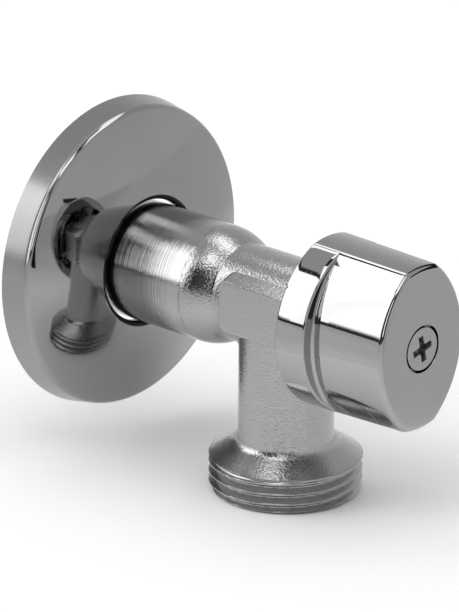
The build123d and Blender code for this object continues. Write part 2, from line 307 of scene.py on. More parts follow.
def body_finish():
    """Rings of the lathe on the barrel, and a pebbled skin on the forged neck and leg."""
    material, tree, shader, place = new_finish("body_chrome")
    y = parts_of(place)[1]
    turned = y.step(BARREL_END - BARREL_BLEND, BARREL_END + BARREL_BLEND)
    forged = 1 - turned
    pebbles = noise(place, 0.9, detail=3.0, roughness=0.6)
    grains = noise(place, 0.4, detail=2.0)
    lathe = rings(y, 0.35) + 0.5 * rings(y, 0.09)
    height = turned * 0.3 * lathe + forged * (0.9 * pebbles + 1.3 * grains)
    pits = noise(place, 0.5, detail=2.0).step(0.66, 0.76) * forged
    tone = mix_colours(pits, grey(CHROME), grey(CHROME * 0.7))
    roughness = 0.08 + 0.05 * turned * lathe + forged * (0.06 + 0.08 * grains)
    link(tree, shader, Base_Color=tone, Metallic=1.0, Roughness=roughness)
    link(tree, shader, Normal=bump(height, 0.7, 0.08))
    return material


body_chrome = body_finish()
print("body finish:", body_chrome.name, len(body_chrome.node_tree.nodes), "nodes")


# %% [markdown]
# ## Plain finishes of the small pieces
# The screw is zinc-plated steel, the rings and stem are turned brass, the ball is
# polished and the seals are white plastic or black rubber. They hide inside the
# body, but they show through the bores and when the knob is looked at from behind.


# %% Finishes of the small pieces
def small_finish(name, low, high, metallic, dull, grain):
    """Two close tones in soft clouds, with a fine grain that breaks the gloss."""
    material, tree, shader, place = new_finish(name)
    cloud = noise(place, 2.5, detail=3.0)
    fine = noise(place, grain, detail=3.0)
    link(tree, shader, Base_Color=mix_colours(cloud, low, high), Metallic=metallic)
    link(tree, shader, Roughness=dull + 0.15 * fine, Normal=bump(fine, 0.3, 0.02))
    return material


screw_steel = small_finish("screw_steel", grey(0.36), grey(0.44), 1.0, 0.22, 0.25)
BRASS_LOW, BRASS_HIGH = (0.62, 0.42, 0.16, 1), (0.72, 0.52, 0.23, 1)
turned_brass = small_finish("turned_brass", BRASS_LOW, BRASS_HIGH, 1.0, 0.2, 0.2)
ball_chrome = small_finish("ball_chrome", grey(0.5), grey(0.56), 1.0, 0.05, 0.4)
white_seal = small_finish("white_seal", grey(0.78), grey(0.84), 0.0, 0.35, 0.3)
black_seal = small_finish("black_seal", grey(0.02), grey(0.03), 0.0, 0.45, 0.2)
inside_finishes = {
    "knob_screw": screw_steel,
    "ball": ball_chrome,
    "inlet_seat": white_seal,
    "outlet_seat": white_seal,
    "stem_washer": white_seal,
    "stem_o_ring_inner": black_seal,
    "stem_o_ring_outer": black_seal,
    "inlet_retainer": turned_brass,
    "outlet_retainer": turned_brass,
    "stem": turned_brass,
}
for node_name, material in inside_finishes.items():
    nodes[node_name].data.materials.clear()
    nodes[node_name].data.materials.append(material)
print("finished CAD nodes:", len(inside_finishes))


# %% [markdown]
# ## Copies of CAD nodes
# A CAD node comes as loose triangles. To smooth it, or to take faces out, a copy is
# merged first. Plain smooth shading would bend the light on flat faces. The Weighted Normal
# modifier keeps them flat and lets only the rounded edges bend the reflection.


# %% Copy of a node without some of its faces
COPY_SHARP, FLAT_WEIGHT = 30, 100


def copy_of(node_name, name, body, material, left_out):
    """Merged copy of a CAD node. left_out takes face centres in mm, and gives those to drop."""
    mesh = nodes[node_name].data.copy()
    mesh.name = name
    tidy = bmesh.new()
    tidy.from_mesh(mesh)
    bmesh.ops.remove_doubles(tidy, verts=tidy.verts, dist=SAME_POINT)
    centres = np.array([f.calc_center_median() for f in tidy.faces]) / MM
    dropped = [f for f, drop in zip(tidy.faces, left_out(centres)) if drop]
    bmesh.ops.delete(tidy, geom=dropped, context="FACES")
    print(f"{name}: {len(dropped)} faces of the CAD node left out")
    tidy.to_mesh(mesh)
    tidy.free()
    piece = add_piece(mesh, name, body, material, [node_name], COPY_SHARP)
    weighted = piece.modifiers.new("flat faces stay flat", "WEIGHTED_NORMAL")
    weighted.keep_sharp = True
    weighted.weight = FLAT_WEIGHT
    return piece


# %% [markdown]
# ## Threads
# The CAD body has a plain cylinder where each thread is, at the outer diameter. Here the
# cylinder's faces are left out and a real helix takes their place: the radius falls from
# crest to root once per pitch along the axis, and the pattern moves one pitch per turn.

# %% Sizes of the body that the threads need
body_low, body_high = [np.array(corner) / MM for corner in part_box("valve_body")]
PITCH = 1.814
THREAD_DEPTH = 1.162
FLANK_SLOPE, RUN_OUT = 1.25, 0.8
OUTLET_R = 13.2205
OUTLET_LENGTH = 6.5
OUTLET_CHAMFER = 0.9
INLET_R = 10.4775
INLET_LENGTH = 15.0
INLET_CHAMFER = 1.2
outlet_end = body_low[2]
inlet_end = body_high[1]
leg_y = frame["joints"][0]["pos_m"][1] / MM
print("outlet end z", round(outlet_end, 3), "inlet end y", round(inlet_end, 3), "leg y", leg_y)


# %% The helix
def thread_radius(turn, along, length, radius, chamfer):
    """Radius at a share of a turn and a distance from the free end.

    The phase is the distance in pitches less the share of a turn. A triangle wave of the phase,
    cut flat at crest and root, lowers the radius by the depth of the thread. The groove
    fades out before the shoulder, and the chamfer's cone caps the first crest.
    """
    phase = (along / PITCH - turn) % 1.0
    triangle = np.abs(2 * phase - 1)
    groove = np.clip((triangle - 0.5) * FLANK_SLOPE + 0.5, 0, 1)
    fade = np.clip((length - along) / RUN_OUT, 0, 1)
    cut = radius - THREAD_DEPTH * groove * fade
    return np.minimum(cut, radius - chamfer + along)


def thread_sleeve(radius, length, chamfer, turns_of_grid, rows):
    """Grid of a thread about Z whose free end is at z = 0 and whose shoulder is at the length."""
    turn = np.linspace(0, 1, turns_of_grid, endpoint=False)
    along = np.linspace(0, length, rows)
    along, turn = np.meshgrid(along, turn, indexing="ij")
    r = thread_radius(turn, along, length, radius, chamfer)
    return np.stack([r * np.cos(2 * pi * turn), r * np.sin(2 * pi * turn), along], axis=2)


outlet_grid = thread_sleeve(OUTLET_R, OUTLET_LENGTH, OUTLET_CHAMFER, 288, 120)
outlet_grid = outlet_grid + np.array([0, leg_y, outlet_end])
inlet_grid = thread_sleeve(INLET_R, INLET_LENGTH, INLET_CHAMFER, 216, 170)
inlet_grid = inlet_grid[..., [0, 2, 1]] * np.array([1, -1, 1]) + np.array([0, inlet_end, 0])
print("turns:", round(OUTLET_LENGTH / PITCH, 1), "outlet,", round(INLET_LENGTH / PITCH, 1), "inlet")

# %% [markdown]
# The tool leaves fine lines along each turn. They could be cut into the mesh, but noise along one
# slanting direction, in the gloss and the bump, serves both threads and needs no faces.


# %% Finish of the cut threads
def thread_finish():
    """Chrome in soft clouds, with fine cutting lines in its gloss and its bump."""
    material, tree, shader, place = new_finish("thread_chrome")
    _, y, z = parts_of(place)
    lines = rings(z + y, 0.12)
    cloud = noise(place, 0.7, detail=3.0)
    tone = mix_colours(cloud, grey(CHROME * 0.85), grey(CHROME * 1.1))
    link(tree, shader, Base_Color=tone, Metallic=1.0, Roughness=0.12 + 0.12 * lines)
    link(tree, shader, Normal=bump(lines + 0.5 * cloud, 0.3, 0.02))
    return material


thread_chrome = thread_finish()
for name, grid in (("outlet_thread", outlet_grid), ("inlet_thread", inlet_grid)):
    new_piece(name, [(grid, False, True)], "body", thread_chrome)


# %% [markdown]
# ## Body
# The body is one forged and turned piece of brass. Its broad forms are fine enough in the CAD
# mesh, so a copy of that node serves. Only the plain cylinders under the threads and the raised pad are
# left out of it, because a new surface takes the place of each.

# %% The rest of the body
PAD_LENGTH, PAD_HEIGHT, PAD_RISE, PAD_FACE = 15.0, 9.2, 0.6, 9.15
PAD_DRAFT, PAD_CORNER, PAD_EDGE, PAD_DEPTH = radians(16), 1.4, 0.25, 4.6
NEAR_FACE, NEAR_OUTLINE, NEAR_FLANK = 0.3, 0.1, 0.06
END_MARGIN = 0.01


def pad_faces(centres):
    """True for the faces of the raised pad: its flat face, or near the outline of its flank.

    The distance to a rounded rectangle is that to the rectangle of its corners' middles, less the
    corner's radius. The outline grows with the depth by the tangent of the draft angle.
    """
    x, y, z = centres.T
    depth = x + PAD_FACE
    along = np.abs(y - leg_y) - PAD_LENGTH / 2 + PAD_CORNER
    up = np.abs(z - PAD_RISE) - PAD_HEIGHT / 2 + PAD_CORNER
    beyond = np.hypot(np.maximum(along, 0), np.maximum(up, 0))
    within = np.minimum(np.maximum(along, up), 0)
    outside = beyond + within - PAD_CORNER - depth * tan(PAD_DRAFT)
    on_face = (depth < NEAR_FACE) & (outside < NEAR_OUTLINE)
    on_flank = (depth < PAD_DEPTH - NEAR_OUTLINE) & (np.abs(outside) < NEAR_FLANK)
    return on_face | on_flank


def thread_faces(centres):
    """True for the faces of the two plain cylinders and their chamfers."""
    x, y, z = centres.T
    outlet = (np.hypot(x, y - leg_y) > OUTLET_R - OUTLET_CHAMFER) & (z < outlet_end + OUTLET_LENGTH)
    outlet &= z > outlet_end + END_MARGIN
    inlet = (np.hypot(x, z) > INLET_R - INLET_CHAMFER) & (y > inlet_end - INLET_LENGTH + END_MARGIN)
    inlet &= y < inlet_end - END_MARGIN
    return outlet | inlet


def replaced_faces(centres):
    """True for the faces of the body that a new surface takes the place of."""
    return thread_faces(centres) | pad_faces(centres)


copy_of("valve_body", "body_shell", "body", body_chrome, replaced_faces)

# %% [markdown]
# ## Raised pad
# The body has a flat pad on its left side, drafted so that it leaves the die. A row of points per
# outline gives clean reflections on its small edge: rows of rounded rectangles run from the flank
# that sinks into the neck, over the edge rounding, to the flat face.

# %% Skin of the pad
PAD_POINTS, OFF_AXIS, LEAST_CORNER = 160, radians(0.9), 0.05
FACE_SHARES = (0.9, 0.6, 0.3, 0.0)


def pad_outline(inset):
    """Rounded rectangle (along, up) drawn in by the inset, by the direction in which it faces."""
    facing = np.linspace(0, 2 * pi, PAD_POINTS, endpoint=False) + OFF_AXIS
    out = np.stack([np.cos(facing), np.sin(facing)], axis=1)
    middle = np.sign(out) * [PAD_LENGTH / 2 - PAD_CORNER, PAD_HEIGHT / 2 - PAD_CORNER]
    return middle + max(PAD_CORNER - inset, LEAST_CORNER) * out


def pad_grid():
    """Rows of outlines: flank at the draft angle, an arc from flank to face, and the flat face.

    On the arc, a point that faces by an angle from the front lies one edge radius from the arc's
    middle, so the rows close up where the surface bends.
    """
    turn = np.linspace(pi / 2 - PAD_DRAFT, 0, 9)
    edge_middle = PAD_EDGE * tan((pi / 2 - PAD_DRAFT) / 2)
    insets = edge_middle - PAD_EDGE * np.sin(turn)
    depths = PAD_EDGE - PAD_EDGE * np.cos(turn)
    insets = np.concatenate([[-PAD_DEPTH * tan(PAD_DRAFT)], insets])
    depths = np.concatenate([[PAD_DEPTH], depths])
    rows = [pad_outline(inset) for inset in insets]
    rows += [rows[-1] * share for share in FACE_SHARES]
    depths = np.concatenate([depths, np.zeros(len(FACE_SHARES))])
    flat = np.stack(rows)
    x = np.broadcast_to(depths[:, None] - PAD_FACE, flat.shape[:2])
    return np.stack([x, leg_y + flat[..., 0], PAD_RISE + flat[..., 1]], axis=2)


pad_rows = pad_grid()[:, ::-1]
new_piece("pad_skin", [(pad_rows, False, True)], "body", body_chrome)


# %% [markdown]
# ## Knob
# The grip is a lens in section: two broad arcs for the sides and two narrow ones for the
# ridges above and below, with rounded corners. All these arcs bulge outwards, so the
# direction in which the surface faces picks one point of the outline, and rows of
# outlines, each drawn in a little more, make the drafted grip, its rounded front edge and its
# flat front. The collar behind it is a fuller lens with the same corners.

# %% Sizes of the knob
KNOB_DRAFT = tan(radians(1.4))
GRIP_R, RIDGE_WIDTH, GRIP_SIDE_STEP = 15.05, 7.9, 3.9
COLLAR_STEP, COLLAR_TOP_STEP, COLLAR_LENGTH, COLLAR_RIM = 1.6, 0.05, 6.2, 0.4
LONG_EDGE, FRONT_EDGE, REAR_EDGE, FOOT = 1.4, 1.0, 0.4, 0.6
KNOB_WALL, KNOB_FRONT_WALL = 1.8, 3.6
WALL_COVER, REAR_COVER = 0.2, 0.05
SEAT_R, SEAT_DEPTH, SCREW_HOLE_R = 4.2, 2.0, 2.25
SEAT_EDGE, SEAT_EDGE_DEPTH = 0.04, 0.08
knob_low, knob_high = [np.array(corner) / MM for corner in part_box("knob")]
knob_front, knob_rear = knob_low[1], knob_high[1]
step_y = knob_rear - COLLAR_LENGTH
collar_half = GRIP_R - COLLAR_STEP
grip_half = GRIP_R - GRIP_SIDE_STEP
ridge_height = sqrt(GRIP_R**2 - (RIDGE_WIDTH / 2) ** 2)


def side_arc(half):
    """Radius and middle of the arc through the end of the ridge and the middle of the side."""
    rise = half - RIDGE_WIDTH / 2
    radius = (rise**2 + ridge_height**2) / (2 * rise)
    return radius, half - radius


side_r, side_x = side_arc(grip_half)
collar_side_r, collar_side_x = side_arc(collar_half)
print("knob from y", round(knob_rear, 3), "to", round(knob_front, 3), "side arcs", round(side_r, 2))


# %% Outline of a lens
def quarter_outline(top, side, middle, corner):
    """Quarter of a lens, from the top of the ridge to the middle of the right side.

    The corner's centre lies at one radius less the corner's from the knob's axis, and at the
    other radius less the corner's from the middle of the side arc. Points on an arc are its
    centre plus its radius times the facing direction.
    """
    x = ((top - corner) ** 2 - (side - corner) ** 2 + middle**2) / (2 * middle)
    centre = np.array([x, sqrt((top - corner) ** 2 - x**2)])
    first = atan2(centre[0], centre[1])
    last = atan2(centre[0] - middle, centre[1])
    spans = [
        (np.zeros(2), top, 0.0, first, 14),
        (centre, corner, first, last, 16),
        (np.array([middle, 0.0]), side, last, pi / 2, 40),
    ]
    arcs = []
    for origin, radius, start, end, count in spans:
        facing = np.linspace(start, end, count, endpoint=False)
        arcs.append(origin + radius * np.stack([np.sin(facing), np.cos(facing)], axis=1))
    return np.concatenate(arcs + [[[middle + side, 0.0]]])


def whole_outline(quarter):
    """Whole outline (x, z), clockwise from the top, from one quarter and its mirror images."""
    half = np.concatenate([quarter[:-1], quarter[::-1] * [1, -1]])
    return np.concatenate([half[:-1], half[::-1][:-1] * [-1, 1]])


def grip_outline(inset, corner=LONG_EDGE):
    """Lens of the grip, drawn in by the inset."""
    return whole_outline(quarter_outline(GRIP_R - inset, side_r - inset, side_x, corner))


def collar_outline(inset):
    """Fuller lens of the collar, drawn in by the inset."""
    top = GRIP_R - COLLAR_TOP_STEP - inset
    return whole_outline(quarter_outline(top, collar_side_r - inset, collar_side_x, LONG_EDGE))


def at_depth(outline, y):
    """Outline (x, z) set at a depth of the frame."""
    return np.stack([outline[:, 0], np.full(len(outline), y), outline[:, 1]], axis=1)


def round_like(outline, radius):
    """Circle with its points in the same directions as those of an outline."""
    return outline * (radius / np.linalg.norm(outline, axis=1))[:, None]


def blend(first, last, shares):
    """Rows of points between two rows."""
    return [first * (1 - share) + last * share for share in shares]


print("points per outline:", len(grip_outline(0.0)), "grip,", len(collar_outline(0.0)), "collar")


# %% Rows of the grip
def drafted_wall(outline, y_start, y_end, count):
    """Outlines along the wall, each drawn in by the draft at its depth."""
    depths = np.linspace(y_start, y_end, count)
    return [at_depth(outline(KNOB_DRAFT * (knob_rear - y)), y) for y in depths]


def rear_rounding(outline):
    """Quarter round from the flat rear to the wall."""
    rows = []
    for turn in np.radians(np.linspace(0, 80, 7)):
        y = knob_rear - REAR_EDGE * (1 - cos(turn))
        rows.append(at_depth(outline(REAR_EDGE * (1 - sin(turn)) + KNOB_DRAFT * (knob_rear - y)), y))
    return rows


def front_rounding(outline, y_front, radius, corner=None):
    """Quarter round from the wall to a flat front at a depth of the frame."""
    rows = []
    start = KNOB_DRAFT * (knob_rear - y_front - radius)
    for turn in np.radians(np.linspace(7.5, 90, 12)):
        drawn_in = radius * (1 - cos(turn))
        more = () if corner is None else (corner - drawn_in,)
        rows.append(at_depth(outline(start + drawn_in, *more), y_front + radius * (1 - sin(turn))))
    return rows


def inside_wall(rows):
    """Rows behind the step of the collar, pushed out of the hollow and into the collar's wall."""
    x, y, z = rows[..., 0], rows[..., 1], rows[..., 2]
    least = np.where(y > step_y + WALL_COVER, collar_half - KNOB_WALL + WALL_COVER, 0.0)
    push = np.maximum(least / np.hypot(x, z), 1.0)
    return np.stack([x * push, y, z * push], axis=2)


def grip_rows():
    """Outlines from inside the collar over the front edge to the bottom of the screw's seat."""
    rear = rear_rounding(grip_outline)
    hollow = round_like(rear[0][:, [0, 2]], collar_half - KNOB_WALL)
    inner = at_depth(hollow, knob_rear - REAR_COVER)
    wall = drafted_wall(grip_outline, knob_rear - REAR_EDGE, knob_front + FRONT_EDGE, 24)
    front = front_rounding(grip_outline, knob_front, FRONT_EDGE, LONG_EDGE)
    face = front[-1][:, [0, 2]]
    seat_edge = at_depth(round_like(face, SEAT_R), knob_front)
    steps = [
        (SEAT_R - SEAT_EDGE, SEAT_EDGE_DEPTH),
        (SEAT_R - SEAT_EDGE, SEAT_DEPTH),
        (SCREW_HOLE_R, SEAT_DEPTH),
        (SCREW_HOLE_R, KNOB_FRONT_WALL),
    ]
    seat = [at_depth(round_like(face, radius), knob_front + depth) for radius, depth in steps]
    flat = blend(front[-1], seat_edge, np.linspace(0, 1, 9)[1:])
    behind = blend(inner, rear[0], np.linspace(0, 1, 4)[:-1]) + rear + wall
    return np.concatenate([inside_wall(np.stack(behind)), np.stack(front + flat + seat)])


grip_grid = grip_rows()[:, ::-1]
print("grip grid:", grip_grid.shape)


# %% [markdown]
# The collar is the fuller rear of the knob, and the grip stands on it. On each side a hollow
# fillet fills the corner between them. It is a crescent that runs out to nothing, so it is a
# surface of its own, laid over the two others.

# %% Collar and foot
UNDER_GRIP = 5.0
FOOT_TIP, FOOT_SHARE, FOOT_SINK, FOOT_LIFT = radians(42), 0.85, 0.015, 0.004
KNOB_SHARP = 30


def collar_rows():
    """Outlines from the hollow's edge round the rear, along the wall and over the rim to the grip."""
    rear = rear_rounding(collar_outline)
    inner = at_depth(round_like(rear[0][:, [0, 2]], collar_half - KNOB_WALL), knob_rear)
    wall = drafted_wall(collar_outline, knob_rear - REAR_EDGE, step_y + COLLAR_RIM, 8)
    rim = front_rounding(collar_outline, step_y, COLLAR_RIM)
    under_grip = at_depth(collar_outline(UNDER_GRIP), step_y)
    return np.stack([inner] + rear + wall + rim + [under_grip])


def foot_grid():
    """Hollow fillet between the step of the collar and one side of the grip.

    Along the side it follows the outline. Across, a quarter of a circle leaves the step and ends
    on the grip. Its radius shrinks to nothing where the step runs out at the tips of the crescent.
    """
    inset = KNOB_DRAFT * COLLAR_LENGTH
    facing = np.linspace(FOOT_TIP, pi - FOOT_TIP, 161)
    out = np.stack([np.sin(facing), np.cos(facing)], axis=1)
    foot = np.array([side_x, 0.0]) + (side_r - inset) * out
    from_middle = foot - [collar_side_x, 0.0]
    along = np.sum(from_middle * out, axis=1)
    rim_r = collar_side_r - inset - COLLAR_RIM
    room = np.sqrt(np.maximum(along**2 + rim_r**2 - np.sum(from_middle**2, axis=1), 0)) - along
    radius = np.clip(FOOT_SHARE * room, 0.0, FOOT)[None, :]
    turn = np.radians(np.linspace(0, 90, 12))[:, None]
    reach = radius * (1 - np.sin(turn)) - FOOT_SINK
    y = step_y + FOOT_LIFT - radius * (1 - np.cos(turn))
    x, z = foot[:, 0] + reach * out[:, 0], foot[:, 1] + reach * out[:, 1]
    return np.stack([x, y, z], axis=2)


right_foot = foot_grid()[:, ::-1]
left_foot = right_foot[:, ::-1] * [-1, 1, 1]
collar_grid = collar_rows()[:, ::-1]
knob_grids = [(grip_grid, False, True), (collar_grid, False, True)]
knob_grids += [(right_foot, False, False), (left_foot, False, False)]
new_piece("knob_shell", knob_grids, "handle", knob_chrome, ["knob"], KNOB_SHARP)

# %% [markdown]
# The knob is hollow behind, with a hub on the stem. Nobody sees that as a mirror, so a copy of
# the CAD node serves for it, without the outside that was made above.


# %% Inside of the knob
WALL_MARGIN, STEP_MARGIN = 0.05, 0.3


def outside_of_knob(centres):
    """True for faces on the outside: near the collar's wall, the grip's sides, ends or seat."""
    x, y, z = centres.T
    inset = KNOB_DRAFT * (knob_rear - y)
    in_collar = np.hypot(x, z) < collar_half - KNOB_WALL + WALL_MARGIN
    in_collar &= y < knob_rear - END_MARGIN
    in_grip = np.hypot(np.abs(x) - side_x, z) < side_r - inset - KNOB_WALL / 2
    in_grip |= y > step_y + STEP_MARGIN
    behind_front = y > knob_front + KNOB_FRONT_WALL - END_MARGIN
    return ~(in_collar & in_grip & behind_front)


copy_of("knob", "knob_inside", "handle", knob_chrome, outside_of_knob)

# %% [markdown]
# ## Head of the knob screw
# The screw has a flat head with a cross recess. The head is a little smaller than its seat, and the
# gap shows as a dark ring. It is one surface over the disc: the depth grows at the rounded edge, and
# wherever a point lies inside the cross.

# %% Screw head
HEAD_R, HEAD_EDGE, HEAD_SINK, HEAD_SHARP = 3.75, 0.12, 0.02, 40
CROSS_TURN = radians(12)
CROSS_LENGTH, CROSS_WIDTH, CROSS_HUB, CROSS_DEPTH = 2.35, 1.2, 1.2, 1.6
CROSS_ZONE, CROSS_FLARE, CROSS_SLOPE = 3.0, 0.35, 6.0


def head_grid():
    """Disc of rings and spokes whose depth below the front comes from the edge and the cross.

    The edge is a quarter of a circle. A point is in the cross when it is nearer to either arm
    than half the arm's width, which grows towards the middle. The walls of the recess fall at a
    steep slope. The rings lie close together in the zone of the cross.
    """
    flat_rim = np.linspace(CROSS_ZONE, HEAD_R - HEAD_EDGE, 8)[1:]
    ring = np.concatenate([np.linspace(0.0, CROSS_ZONE, 76), flat_rim])
    turn = np.radians(np.linspace(6, 90, 15))
    edge_ring = HEAD_R - HEAD_EDGE * (1 - np.sin(turn))
    radius = np.concatenate([ring, edge_ring, [HEAD_R]])[:, None]
    edge_depth = np.concatenate([0 * ring, HEAD_EDGE * (1 - np.cos(turn)), [SEAT_DEPTH]])[:, None]
    angle = np.linspace(0, 2 * pi, 240, endpoint=False)[None, :]
    u = np.abs(radius * np.cos(angle - CROSS_TURN))
    v = np.abs(radius * np.sin(angle - CROSS_TURN))
    long, short = np.maximum(u, v), np.minimum(u, v)
    half_width = CROSS_WIDTH / 2 + CROSS_FLARE * np.clip(CROSS_HUB - long, 0, 1) ** 2
    outside = np.maximum(short - half_width, long - CROSS_LENGTH)
    recess = np.clip(-outside * CROSS_SLOPE, 0, CROSS_DEPTH)
    y = knob_front + HEAD_SINK + edge_depth + recess
    return np.stack([radius * np.cos(angle), y, radius * np.sin(angle)], axis=2)


def head_faces(centres):
    """True for the faces of the CAD head that the new head takes the place of."""
    return centres[:, 1] < knob_front + SEAT_DEPTH - END_MARGIN


head = [(head_grid()[:, ::-1], False, True)]
new_piece("screw_head", head, "handle", screw_steel, ["knob_screw"], HEAD_SHARP)
copy_of("knob_screw", "screw_shank", "handle", screw_steel, head_faces)

# %% [markdown]
# ## Wall plate
# The plate is one pressed sheet. A mirror shows every flat facet, so it is worked out as
# a turned surface with a fine grid. Its profile is a chain of arcs and lines, each drawn
# from the direction in which the front of the sheet faces. A Screw modifier could turn the
# profile too, but as an array both skins come from the same chain, half a sheet to either side.

# %% Profile of the sheet
SHEET = 0.8
PLATE_D, PLATE_FRONT_D, PLATE_SKIRT = 55.2, 53.4, 5.0
DOME_R, EDGE_R, ROLL_R, HOLE_COLLAR = 73.0, 1.0, 0.45, 0.8
BARREL_R, HOLE_CLEARANCE = 10.4, 0.45


def arc(centre, radius, start, end, count):
    """Points on an arc, from one facing direction to another, 0 being straight to the front."""
    facing = np.radians(np.linspace(start, end, count))
    offset = np.stack([np.sin(facing), -np.cos(facing)], axis=1)
    return np.array(centre) + radius * offset


def plate_skin(side):
    """Profile (radius, y) of one skin of the sheet, from the wall to the hole.

    The middle of the sheet is a sloped skirt, a small edge arc, a shallow dome, an arc that
    rolls back into the hole and a short collar. The side is +1 for the front skin.
    """
    half = SHEET / 2
    edge = np.array([PLATE_FRONT_D / 2 - half, half - PLATE_SKIRT])
    slope = (PLATE_D - PLATE_FRONT_D) / 2 / PLATE_SKIRT
    along = np.array([slope, 1.0]) / hypot(slope, 1.0)
    outward = np.array([along[1], -along[0]])
    dome_r = DOME_R - half
    dome = np.array([0.0, edge[1] + sqrt(dome_r**2 - edge[0] ** 2)])
    start = edge - EDGE_R * outward - dome
    reach = sqrt((start @ along) ** 2 - start @ start + (dome_r - EDGE_R) ** 2)
    run = min(-start @ along + reach, -start @ along - reach, key=abs)
    corner = dome + start + run * along
    edge_facing = np.degrees(atan2(corner[0], dome[1] - corner[1]))
    skirt_facing = np.degrees(atan2(outward[0], -outward[1]))
    hole_r = BARREL_R + HOLE_CLEARANCE + half
    roll_facing = np.degrees(asin((hole_r + ROLL_R) / (dome_r - ROLL_R)))
    roll = dome + (dome_r - ROLL_R) * np.array([sin(radians(roll_facing)), -cos(radians(roll_facing))])
    offset = side * half
    skirt_end = corner + (EDGE_R + offset) * outward
    skirt_top = skirt_end - along * (skirt_end[1] / along[1])
    return np.concatenate([
        np.linspace(skirt_top, skirt_end, 12)[:-1],
        arc(corner, EDGE_R + offset, skirt_facing, edge_facing, 20)[:-1],
        arc(dome, dome_r + offset, edge_facing, roll_facing, 40)[:-1],
        arc(roll, ROLL_R + offset, roll_facing, -90, 24)[:-1],
        np.linspace(roll + [-ROLL_R - offset, 0], roll + [-ROLL_R - offset, HOLE_COLLAR], 4),
    ])


def turned(profile, count):
    """Grid of a profile (radius, y) turned about the inlet axis."""
    angle = np.linspace(0, 2 * pi, count, endpoint=False)[:, None]
    r, y = profile[None, :, 0], profile[None, :, 1]
    y = np.broadcast_to(y, (count, len(profile)))
    return np.stack([r * np.sin(angle), y, r * np.cos(angle)], axis=2)


front, back = plate_skin(1), plate_skin(-1)
plate_grid = turned(np.concatenate([front, back[::-1]]), 288)
plate_sheet = [(plate_grid, True, True)]
new_piece("wall_plate", plate_sheet, "wall_plate", plate_chrome, ["escutcheon"])

# %% [markdown]
# ## Studio
# Chrome has no colour of its own, so the room makes the picture. The photograph's mirror
# faces tell what stood where: a white softbox on the left with a dark frame, a
# second one high in front, and a dark room behind the camera, which draws thin black lines on
# the rounded edges. The floor is pale and dull, and the only piece here that the camera sees.

# %% Floor
CAMERA_AZIMUTH = -46.838
CAMERA_ELEVATION = 20.24
FLOOR_Z, FLOOR_REACH = outlet_end, 4000
FLOOR_LOW, FLOOR_HIGH = 0.92, 0.94


def stage_mesh(name, points, faces, material, camera=False):
    """Piece of the studio. The camera sees only the floor."""
    mesh = bpy.data.meshes.new(name)
    mesh.from_pydata(np.asarray(points) * MM, [], faces)
    mesh.materials.append(material)
    piece = bpy.data.objects.new(name, mesh)
    bpy.context.scene.collection.objects.link(piece)
    piece.visible_camera = camera
    print(f"{name}: {len(mesh.polygons)} faces")
    return piece


def floor_finish():
    """Dull white with faint, wide clouds."""
    material, tree, shader, place = new_finish("pale_floor")
    cloud = noise(place, 60.0)
    tone = mix_colours(cloud, grey(FLOOR_LOW), grey(FLOOR_HIGH))
    link(tree, shader, Base_Color=tone, Roughness=0.9)
    return material


corner_signs = [(-1, -1), (1, -1), (1, 1), (-1, 1)]
floor_corners = [(u * FLOOR_REACH, v * FLOOR_REACH, FLOOR_Z) for u, v in corner_signs]
stage_mesh("floor", floor_corners, [(0, 1, 2, 3)], floor_finish(), camera=True)

# %% [markdown]
# Cards do for mirrors what lamps do for the floor, and only mirrors see them. Grey ones lie on the
# floor around the picture and give the front of the knob its tone. Two white ones stand in front,
# for the body to mirror, straight or by way of the plate.

# %% Cards on the floor and in front
turn = radians(CAMERA_AZIMUTH)
to_right = np.array([cos(turn), sin(turn), 0.0])
to_front = np.array([sin(turn), -cos(turn), 0.0])
CARD_LIFT, FAR = 0.05, 1500
CARD_WHITE, CARD_BLACK = 2.4, 0.02
FRONT_CARD, NEAR_CARD = (-20, 16, 20, 150, 200), (-42, -21, 6, 62, 60)
CLEAR_LEFT, CLEAR_RIGHT, CLEAR_FRONT = -26, 66, 95
FADED_LEFT, FADED_RIGHT, FADED_FRONT = -90, 120, 200


def spot(right_mm, front_mm, up_mm):
    """Point counted from the origin to the right, to the front of the picture and up."""
    return right_mm * to_right + front_mm * to_front + np.array([0, 0, up_mm])


def on_floor(left, right, rear, front):
    """Corners of a card on the floor, between two distances each way."""
    places = [(left, rear), (right, rear), (right, front), (left, front)]
    return [spot(*place, FLOOR_Z + CARD_LIFT) for place in places]


def upright(left, right, low, high, front):
    """Corners of a standing card that faces the camera's way."""
    places = [(left, low), (right, low), (right, high), (left, high)]
    return [spot(across, front, up) for across, up in places]


def glow(name, brightness=None):
    """Finish that only gives off light. Without a number, its colour is left to be linked."""
    material = bpy.data.materials.new(name)
    material.use_nodes = True
    tree, shader = material.node_tree, material.node_tree.nodes["Principled BSDF"]
    link(tree, shader, Base_Color=grey(0.0), Roughness=1.0, Specular_IOR_Level=0.0)
    link(tree, shader, Emission_Strength=1.0)
    if brightness is not None:
        link(tree, shader, Emission_Color=grey(brightness))
    return material


def mirror_card(name, corners, finish):
    """Card of one or more quads that only mirrors see."""
    quads = np.arange(len(corners)).reshape(-1, 4).tolist()
    card = stage_mesh(name, corners, quads, finish)
    card.visible_diffuse = False
    card.visible_shadow = False


